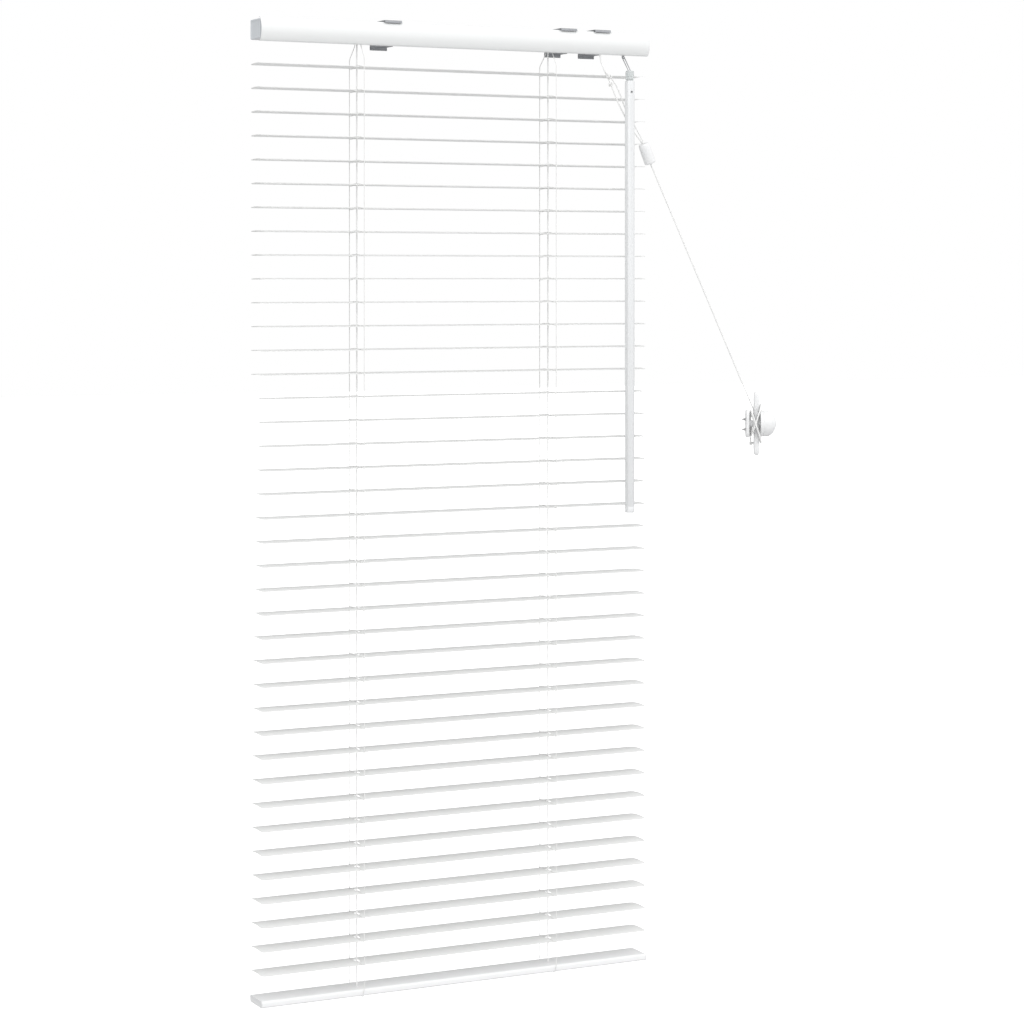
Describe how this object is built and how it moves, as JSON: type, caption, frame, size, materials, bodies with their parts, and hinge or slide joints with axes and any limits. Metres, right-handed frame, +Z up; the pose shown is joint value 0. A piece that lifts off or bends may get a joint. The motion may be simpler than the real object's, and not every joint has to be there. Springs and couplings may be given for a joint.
{
  "type": "venetian blind",
  "caption": "Horizontal slatted window blind with headrail, tilting slats on ladder strings, tilt wand, pull cords and a cord cleat.",
  "frame": {"origin": "on the wall's face, midway along the headrail, level with the brackets' wall screws", "axes": "+X along the headrail to the right as seen from the room, +Y into the wall, +Z up"},
  "size_m": [0.5404, 0.0515, 0.8965],
  "materials": {
    "slat_white": "stove enamelled aluminium, satin",
    "headrail_grey": "grey enamelled steel, satin",
    "valance_white": "white enamel, satin",
    "bracket_steel": "zinc plated folded steel",
    "plastic_grey": "moulded nylon",
    "plastic_white": "moulded, semi gloss",
    "clear_plastic": "clear moulded plastic",
    "wire_steel": "drawn steel wire",
    "rail_white": "white enamelled steel, satin",
    "ladder_thread": "braided polyester thread",
    "cord_white": "braided polyester cord"
  },
  "bodies": {
    "headrail": {"headrail_channel": "headrail_grey", "headrail_valance": "valance_white", "end_caps": "headrail_grey", "mounting_brackets": "bracket_steel", "ladder_cradles": "plastic_grey", "tilter_housing": "plastic_grey", "cord_lock": "plastic_grey", "lift_cords": "cord_white", "pull_cords": "cord_white", "cord_joiner": "plastic_white", "tie_cord": "cord_white", "cord_cleat": "plastic_white"},
    "tilt_rod": {"tilt_rod": "wire_steel"},
    "tilter_worm": {"tilter_worm": "plastic_grey"},
    "wand_hook": {"wand_hook": "wire_steel"},
    "wand_connector": {"wand_connector": "clear_plastic"},
    "tilt_wand": {"tilt_wand": "plastic_white"},
    "cord_lock_roller": {"cord_lock_roller": "wire_steel"},
    "bottom_rail": {"bottom_rail": "rail_white"},
    "ladder_front": {"ladder_cords_front": "ladder_thread"},
    "ladder_rear": {"ladder_cords_rear": "ladder_thread"},
    "slat_01": {"slat_01": "slat_white"},
    "slat_02": {"slat_02": "slat_white"},
    "slat_03": {"slat_03": "slat_white"},
    "slat_04": {"slat_04": "slat_white"},
    "slat_05": {"slat_05": "slat_white"},
    "slat_06": {"slat_06": "slat_white"},
    "slat_07": {"slat_07": "slat_white"},
    "slat_08": {"slat_08": "slat_white"},
    "slat_09": {"slat_09": "slat_white"},
    "slat_10": {"slat_10": "slat_white"},
    "slat_11": {"slat_11": "slat_white"},
    "slat_12": {"slat_12": "slat_white"},
    "slat_13": {"slat_13": "slat_white"},
    "slat_14": {"slat_14": "slat_white"},
    "slat_15": {"slat_15": "slat_white"},
    "slat_16": {"slat_16": "slat_white"},
    "slat_17": {"slat_17": "slat_white"},
    "slat_18": {"slat_18": "slat_white"},
    "slat_19": {"slat_19": "slat_white"},
    "slat_20": {"slat_20": "slat_white"},
    "slat_21": {"slat_21": "slat_white"},
    "slat_22": {"slat_22": "slat_white"},
    "slat_23": {"slat_23": "slat_white"},
    "slat_24": {"slat_24": "slat_white"},
    "slat_25": {"slat_25": "slat_white"},
    "slat_26": {"slat_26": "slat_white"},
    "slat_27": {"slat_27": "slat_white"},
    "slat_28": {"slat_28": "slat_white"},
    "slat_29": {"slat_29": "slat_white"},
    "slat_30": {"slat_30": "slat_white"},
    "slat_31": {"slat_31": "slat_white"},
    "slat_32": {"slat_32": "slat_white"},
    "slat_33": {"slat_33": "slat_white"},
    "slat_34": {"slat_34": "slat_white"},
    "slat_35": {"slat_35": "slat_white"},
    "slat_36": {"slat_36": "slat_white"},
    "slat_37": {"slat_37": "slat_white"},
    "slat_38": {"slat_38": "slat_white"},
    "slat_39": {"slat_39": "slat_white"}
  },
  "joints": [
    {"name": "tilt_turn", "type": "hinge", "parent": "headrail", "child": "tilt_rod", "pos_m": [0, -0.021, 0.0032], "axis": [1, 0, 0], "range_deg": [-72, 72], "deforming": ["ladder_cords_front", "ladder_cords_rear", "lift_cords"]},
    {"name": "slat_01_tilt", "type": "hinge", "parent": "headrail", "child": "slat_01", "pos_m": [0, -0.0185, -0.0281], "axis": [1, 0, 0], "range_deg": [-72, 72]},
    {"name": "slat_02_tilt", "type": "hinge", "parent": "headrail", "child": "slat_02", "pos_m": [0, -0.0185, -0.04977], "axis": [1, 0, 0], "range_deg": [-72, 72]},
    {"name": "slat_03_tilt", "type": "hinge", "parent": "headrail", "child": "slat_03", "pos_m": [0, -0.0185, -0.07144], "axis": [1, 0, 0], "range_deg": [-72, 72]},
    {"name": "slat_04_tilt", "type": "hinge", "parent": "headrail", "child": "slat_04", "pos_m": [0, -0.0185, -0.09311], "axis": [1, 0, 0], "range_deg": [-72, 72]},
    {"name": "slat_05_tilt", "type": "hinge", "parent": "headrail", "child": "slat_05", "pos_m": [0, -0.0185, -0.11478], "axis": [1, 0, 0], "range_deg": [-72, 72]},
    {"name": "slat_06_tilt", "type": "hinge", "parent": "headrail", "child": "slat_06", "pos_m": [0, -0.0185, -0.13645], "axis": [1, 0, 0], "range_deg": [-72, 72]},
    {"name": "slat_07_tilt", "type": "hinge", "parent": "headrail", "child": "slat_07", "pos_m": [0, -0.0185, -0.15812], "axis": [1, 0, 0], "range_deg": [-72, 72]},
    {"name": "slat_08_tilt", "type": "hinge", "parent": "headrail", "child": "slat_08", "pos_m": [0, -0.0185, -0.17979], "axis": [1, 0, 0], "range_deg": [-72, 72]},
    {"name": "slat_09_tilt", "type": "hinge", "parent": "headrail", "child": "slat_09", "pos_m": [0, -0.0185, -0.20146], "axis": [1, 0, 0], "range_deg": [-72, 72]},
    {"name": "slat_10_tilt", "type": "hinge", "parent": "headrail", "child": "slat_10", "pos_m": [0, -0.0185, -0.22313], "axis": [1, 0, 0], "range_deg": [-72, 72]},
    {"name": "slat_11_tilt", "type": "hinge", "parent": "headrail", "child": "slat_11", "pos_m": [0, -0.0185, -0.2448], "axis": [1, 0, 0], "range_deg": [-72, 72]},
    {"name": "slat_12_tilt", "type": "hinge", "parent": "headrail", "child": "slat_12", "pos_m": [0, -0.0185, -0.26647], "axis": [1, 0, 0], "range_deg": [-72, 72]},
    {"name": "slat_13_tilt", "type": "hinge", "parent": "headrail", "child": "slat_13", "pos_m": [0, -0.0185, -0.28814], "axis": [1, 0, 0], "range_deg": [-72, 72]},
    {"name": "slat_14_tilt", "type": "hinge", "parent": "headrail", "child": "slat_14", "pos_m": [0, -0.0185, -0.30981], "axis": [1, 0, 0], "range_deg": [-72, 72]},
    {"name": "slat_15_tilt", "type": "hinge", "parent": "headrail", "child": "slat_15", "pos_m": [0, -0.0185, -0.33148], "axis": [1, 0, 0], "range_deg": [-72, 72]},
    {"name": "slat_16_tilt", "type": "hinge", "parent": "headrail", "child": "slat_16", "pos_m": [0, -0.0185, -0.35315], "axis": [1, 0, 0], "range_deg": [-72, 72]},
    {"name": "slat_17_tilt", "type": "hinge", "parent": "headrail", "child": "slat_17", "pos_m": [0, -0.0185, -0.37482], "axis": [1, 0, 0], "range_deg": [-72, 72]},
    {"name": "slat_18_tilt", "type": "hinge", "parent": "headrail", "child": "slat_18", "pos_m": [0, -0.0185, -0.39649], "axis": [1, 0, 0], "range_deg": [-72, 72]},
    {"name": "slat_19_tilt", "type": "hinge", "parent": "headrail", "child": "slat_19", "pos_m": [0, -0.0185, -0.41816], "axis": [1, 0, 0], "range_deg": [-72, 72]},
    {"name": "slat_20_tilt", "type": "hinge", "parent": "headrail", "child": "slat_20", "pos_m": [0, -0.0185, -0.43983], "axis": [1, 0, 0], "range_deg": [-72, 72]},
    {"name": "slat_21_tilt", "type": "hinge", "parent": "headrail", "child": "slat_21", "pos_m": [0, -0.0185, -0.4615], "axis": [1, 0, 0], "range_deg": [-72, 72]},
    {"name": "slat_22_tilt", "type": "hinge", "parent": "headrail", "child": "slat_22", "pos_m": [0, -0.0185, -0.48317], "axis": [1, 0, 0], "range_deg": [-72, 72]},
    {"name": "slat_23_tilt", "type": "hinge", "parent": "headrail", "child": "slat_23", "pos_m": [0, -0.0185, -0.50484], "axis": [1, 0, 0], "range_deg": [-72, 72]},
    {"name": "slat_24_tilt", "type": "hinge", "parent": "headrail", "child": "slat_24", "pos_m": [0, -0.0185, -0.52651], "axis": [1, 0, 0], "range_deg": [-72, 72]},
    {"name": "slat_25_tilt", "type": "hinge", "parent": "headrail", "child": "slat_25", "pos_m": [0, -0.0185, -0.54818], "axis": [1, 0, 0], "range_deg": [-72, 72]},
    {"name": "slat_26_tilt", "type": "hinge", "parent": "headrail", "child": "slat_26", "pos_m": [0, -0.0185, -0.56985], "axis": [1, 0, 0], "range_deg": [-72, 72]},
    {"name": "slat_27_tilt", "type": "hinge", "parent": "headrail", "child": "slat_27", "pos_m": [0, -0.0185, -0.59152], "axis": [1, 0, 0], "range_deg": [-72, 72]},
    {"name": "slat_28_tilt", "type": "hinge", "parent": "headrail", "child": "slat_28", "pos_m": [0, -0.0185, -0.61319], "axis": [1, 0, 0], "range_deg": [-72, 72]},
    {"name": "slat_29_tilt", "type": "hinge", "parent": "headrail", "child": "slat_29", "pos_m": [0, -0.0185, -0.63486], "axis": [1, 0, 0], "range_deg": [-72, 72]},
    {"name": "slat_30_tilt", "type": "hinge", "parent": "headrail", "child": "slat_30", "pos_m": [0, -0.0185, -0.65653], "axis": [1, 0, 0], "range_deg": [-72, 72]},
    {"name": "slat_31_tilt", "type": "hinge", "parent": "headrail", "child": "slat_31", "pos_m": [0, -0.0185, -0.6782], "axis": [1, 0, 0], "range_deg": [-72, 72]},
    {"name": "slat_32_tilt", "type": "hinge", "parent": "headrail", "child": "slat_32", "pos_m": [0, -0.0185, -0.69987], "axis": [1, 0, 0], "range_deg": [-72, 72]},
    {"name": "slat_33_tilt", "type": "hinge", "parent": "headrail", "child": "slat_33", "pos_m": [0, -0.0185, -0.72154], "axis": [1, 0, 0], "range_deg": [-72, 72]},
    {"name": "slat_34_tilt", "type": "hinge", "parent": "headrail", "child": "slat_34", "pos_m": [0, -0.0185, -0.74321], "axis": [1, 0, 0], "range_deg": [-72, 72]},
    {"name": "slat_35_tilt", "type": "hinge", "parent": "headrail", "child": "slat_35", "pos_m": [0, -0.0185, -0.76488], "axis": [1, 0, 0], "range_deg": [-72, 72]},
    {"name": "slat_36_tilt", "type": "hinge", "parent": "headrail", "child": "slat_36", "pos_m": [0, -0.0185, -0.78655], "axis": [1, 0, 0], "range_deg": [-72, 72]},
    {"name": "slat_37_tilt", "type": "hinge", "parent": "headrail", "child": "slat_37", "pos_m": [0, -0.0185, -0.80822], "axis": [1, 0, 0], "range_deg": [-72, 72]},
    {"name": "slat_38_tilt", "type": "hinge", "parent": "headrail", "child": "slat_38", "pos_m": [0, -0.0185, -0.82989], "axis": [1, 0, 0], "range_deg": [-72, 72]},
    {"name": "slat_39_tilt", "type": "hinge", "parent": "headrail", "child": "slat_39", "pos_m": [0, -0.0185, -0.85156], "axis": [1, 0, 0], "range_deg": [-72, 72]},
    {"name": "bottom_rail_tilt", "type": "hinge", "parent": "headrail", "child": "bottom_rail", "pos_m": [0, -0.0185, -0.87316], "axis": [1, 0, 0], "range_deg": [-72, 72]},
    {"name": "ladder_front_hang", "type": "hinge", "parent": "slat_01", "child": "ladder_front", "pos_m": [0, -0.0354, -0.0297], "axis": [1, 0, 0], "range_deg": [-72, 72]},
    {"name": "ladder_rear_hang", "type": "hinge", "parent": "slat_01", "child": "ladder_rear", "pos_m": [0, -0.0016, -0.0297], "axis": [1, 0, 0], "range_deg": [-72, 72]},
    {"name": "worm_turn", "type": "hinge", "parent": "headrail", "child": "tilter_worm", "pos_m": [0.175, -0.029, 0], "axis": [0, 0, 1], "range_deg": [-720, 720]},
    {"name": "hook_turn", "type": "hinge", "parent": "headrail", "child": "wand_hook", "pos_m": [0.175, -0.0421, -0.025], "axis": [0, 0.6729, 0.7397], "range_deg": [-720, 720]},
    {"name": "wand_swing", "type": "hinge", "parent": "headrail", "child": "wand_connector", "pos_m": [0.175, -0.0421, -0.025], "axis": [-1, 0, 0], "range_deg": [0, 60]},
    {"name": "wand_turn", "type": "hinge", "parent": "wand_connector", "child": "tilt_wand", "pos_m": [0.175, -0.0421, -0.025], "axis": [0, 0, 1], "range_deg": [-720, 720]},
    {"name": "lock_roller_turn", "type": "hinge", "parent": "headrail", "child": "cord_lock_roller", "pos_m": [0.1514, -0.028, -0.001], "axis": [0, 1, 0], "continuous": true}
  ],
  "couplings": [
    {"joint": "slat_01_tilt", "follows": "tilt_turn", "ratio": 1},
    {"joint": "slat_02_tilt", "follows": "tilt_turn", "ratio": 1},
    {"joint": "slat_03_tilt", "follows": "tilt_turn", "ratio": 1},
    {"joint": "slat_04_tilt", "follows": "tilt_turn", "ratio": 1},
    {"joint": "slat_05_tilt", "follows": "tilt_turn", "ratio": 1},
    {"joint": "slat_06_tilt", "follows": "tilt_turn", "ratio": 1},
    {"joint": "slat_07_tilt", "follows": "tilt_turn", "ratio": 1},
    {"joint": "slat_08_tilt", "follows": "tilt_turn", "ratio": 1},
    {"joint": "slat_09_tilt", "follows": "tilt_turn", "ratio": 1},
    {"joint": "slat_10_tilt", "follows": "tilt_turn", "ratio": 1},
    {"joint": "slat_11_tilt", "follows": "tilt_turn", "ratio": 1},
    {"joint": "slat_12_tilt", "follows": "tilt_turn", "ratio": 1},
    {"joint": "slat_13_tilt", "follows": "tilt_turn", "ratio": 1},
    {"joint": "slat_14_tilt", "follows": "tilt_turn", "ratio": 1},
    {"joint": "slat_15_tilt", "follows": "tilt_turn", "ratio": 1},
    {"joint": "slat_16_tilt", "follows": "tilt_turn", "ratio": 1},
    {"joint": "slat_17_tilt", "follows": "tilt_turn", "ratio": 1},
    {"joint": "slat_18_tilt", "follows": "tilt_turn", "ratio": 1},
    {"joint": "slat_19_tilt", "follows": "tilt_turn", "ratio": 1},
    {"joint": "slat_20_tilt", "follows": "tilt_turn", "ratio": 1},
    {"joint": "slat_21_tilt", "follows": "tilt_turn", "ratio": 1},
    {"joint": "slat_22_tilt", "follows": "tilt_turn", "ratio": 1},
    {"joint": "slat_23_tilt", "follows": "tilt_turn", "ratio": 1},
    {"joint": "slat_24_tilt", "follows": "tilt_turn", "ratio": 1},
    {"joint": "slat_25_tilt", "follows": "tilt_turn", "ratio": 1},
    {"joint": "slat_26_tilt", "follows": "tilt_turn", "ratio": 1},
    {"joint": "slat_27_tilt", "follows": "tilt_turn", "ratio": 1},
    {"joint": "slat_28_tilt", "follows": "tilt_turn", "ratio": 1},
    {"joint": "slat_29_tilt", "follows": "tilt_turn", "ratio": 1},
    {"joint": "slat_30_tilt", "follows": "tilt_turn", "ratio": 1},
    {"joint": "slat_31_tilt", "follows": "tilt_turn", "ratio": 1},
    {"joint": "slat_32_tilt", "follows": "tilt_turn", "ratio": 1},
    {"joint": "slat_33_tilt", "follows": "tilt_turn", "ratio": 1},
    {"joint": "slat_34_tilt", "follows": "tilt_turn", "ratio": 1},
    {"joint": "slat_35_tilt", "follows": "tilt_turn", "ratio": 1},
    {"joint": "slat_36_tilt", "follows": "tilt_turn", "ratio": 1},
    {"joint": "slat_37_tilt", "follows": "tilt_turn", "ratio": 1},
    {"joint": "slat_38_tilt", "follows": "tilt_turn", "ratio": 1},
    {"joint": "slat_39_tilt", "follows": "tilt_turn", "ratio": 1},
    {"joint": "bottom_rail_tilt", "follows": "tilt_turn", "ratio": 1},
    {"joint": "ladder_front_hang", "follows": "tilt_turn", "ratio": -1},
    {"joint": "ladder_rear_hang", "follows": "tilt_turn", "ratio": -1},
    {"joint": "worm_turn", "follows": "tilt_turn", "ratio": 10},
    {"joint": "hook_turn", "follows": "tilt_turn", "ratio": 10},
    {"joint": "wand_turn", "follows": "tilt_turn", "ratio": 10}
  ]
}
